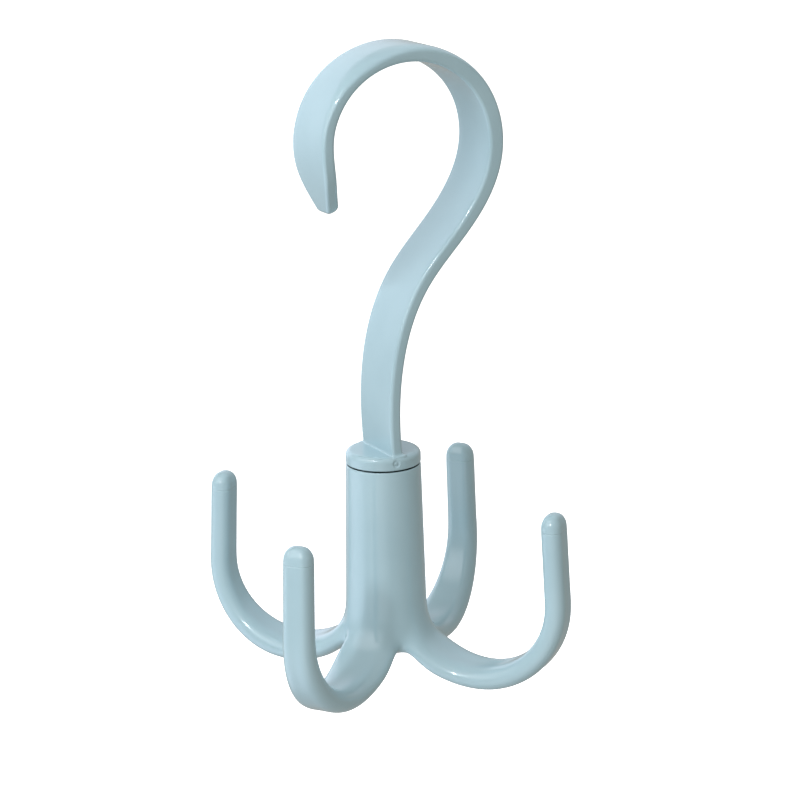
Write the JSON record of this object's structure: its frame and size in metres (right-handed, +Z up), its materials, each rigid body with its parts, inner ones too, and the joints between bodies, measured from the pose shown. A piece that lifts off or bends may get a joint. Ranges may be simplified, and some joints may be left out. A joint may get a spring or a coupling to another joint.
{
  "type": "rotating claw hanger",
  "caption": "Plastic rotating hanger: a flat-band open hook swivels on a tapered round hub with upturned claws for bags, ties and scarves.",
  "frame": {"origin": "seat on the rail: where the swivel axis meets the hook's inner face under its top", "axes": "+Z up along the swivel axis, +X and +Y along two neighbouring claws; the hook's plane stands 54 degrees from +X"},
  "size_m": [0.121, 0.121, 0.1945],
  "materials": {
    "plastic": "gloss, pale grey-blue",
    "steel": "satin, zinc plated"
  },
  "bodies": {
    "hook": {"swivel_hook": "plastic", "steel_washer": "steel", "pivot_screw": "steel"},
    "claws": {"claw_body": "plastic"}
  },
  "joints": [
    {"name": "swivel", "type": "hinge", "parent": "hook", "child": "claws", "pos_m": [0, 0, -0.1215], "axis": [0, 0, 1], "continuous": true}
  ]
}
